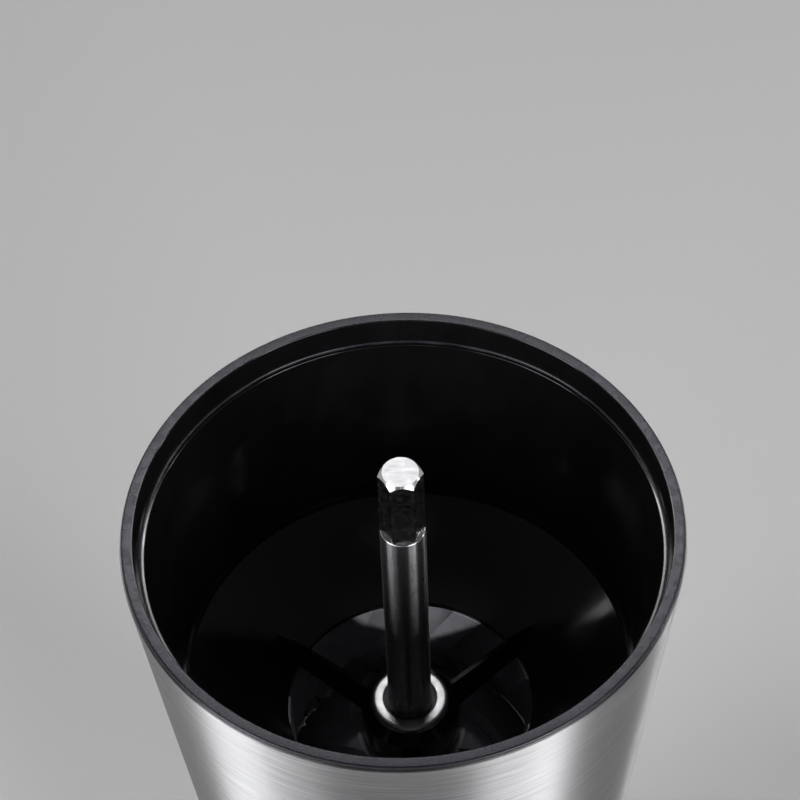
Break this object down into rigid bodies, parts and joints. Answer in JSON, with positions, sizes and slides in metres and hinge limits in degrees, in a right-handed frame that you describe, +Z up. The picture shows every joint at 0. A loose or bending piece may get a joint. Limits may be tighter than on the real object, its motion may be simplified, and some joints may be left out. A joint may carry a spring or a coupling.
{
  "type": "manual burr coffee grinder",
  "caption": "Hand-cranked burr coffee grinder with an open steel-clad hopper, hexagonal drive shaft, ceramic cone burrs, adjusting wheel and glass catch jar; lid and crank set beside it.",
  "frame": {"origin": "on the table, under the middle of the jar, on the grinder's axis", "axes": "+Z up along the drive shaft, -Y towards the viewer, +X towards the lid and crank that are set down"},
  "size_m": [0.2253, 0.1352, 0.2035],
  "materials": {
    "brushed_steel": "stainless steel brushed round the axis",
    "polished_steel": "polished steel",
    "spring_steel": "plain bright steel",
    "brass": "turned brass",
    "black_gloss": "glossy black moulded plastic",
    "black_satin": "satin black moulded plastic",
    "white_plastic": "plain white bearing plastic",
    "white_ceramic": "fired white ceramic",
    "silicone": "matt black silicone",
    "clear_glass": "clear pressed glass"
  },
  "bodies": {
    "jar_base": {"jar": "clear_glass", "base_pad": "silicone"},
    "head": {"jar_seal": "silicone", "waist_collar": "black_gloss", "burr_housing": "black_gloss", "steel_shell": "brushed_steel", "hopper_liner": "black_gloss", "rim_ring": "black_satin", "shaft_bush": "polished_steel", "ring_burr": "white_ceramic", "burr_clamp": "black_satin", "clamp_screws": "polished_steel"},
    "shaft": {"drive_shaft": "polished_steel", "end_clip": "spring_steel", "spring_washer": "spring_steel", "burr_spring": "spring_steel"},
    "burr": {"cone_burr": "white_ceramic", "burr_carrier": "black_satin"},
    "adjuster": {"adjuster_wheel": "black_satin", "adjuster_nut": "brass"},
    "lid": {"lid": "black_satin", "lid_bush": "white_plastic"},
    "crank": {"crank_hub": "brushed_steel", "crank_arm": "brushed_steel", "arm_screw": "polished_steel", "hub_clip": "spring_steel", "knob_pin": "polished_steel", "pin_washer": "spring_steel"},
    "knob": {"knob": "black_satin", "knob_cap": "black_gloss"}
  },
  "joints": [
    {"name": "head_lift", "type": "slide", "parent": "jar_base", "child": "head", "axis": [0, 0, 1], "range_m": [0, 0.06]},
    {"name": "shaft_turn", "type": "hinge", "parent": "head", "child": "shaft", "pos_m": [0, 0, 0.1388], "axis": [0, 0, 1], "continuous": true},
    {"name": "burr_feed", "type": "slide", "parent": "shaft", "child": "burr", "axis": [0, 0, 1], "range_m": [0, 0.0008333], "deforming": ["burr_spring"]},
    {"name": "adjuster_turn", "type": "hinge", "parent": "burr", "child": "adjuster", "pos_m": [0, 0, 0.1086], "axis": [0, 0, 1], "range_deg": [0, 300]},
    {"name": "lid_lift", "type": "slide", "parent": "jar_base", "child": "lid", "axis": [0, 0, 1], "range_m": [0, 0.12]},
    {"name": "crank_turn", "type": "hinge", "parent": "lid", "child": "crank", "pos_m": [0.14025, 0, 0.0112], "axis": [0, 0, 1], "continuous": true},
    {"name": "knob_spin", "type": "hinge", "parent": "crank", "child": "knob", "pos_m": [0.14025, -0.08, 0.0404], "axis": [0, 0, 1], "continuous": true}
  ],
  "couplings": [
    {"joint": "adjuster_turn", "follows": "burr_feed", "rad_per_m": 6283.2}
  ]
}
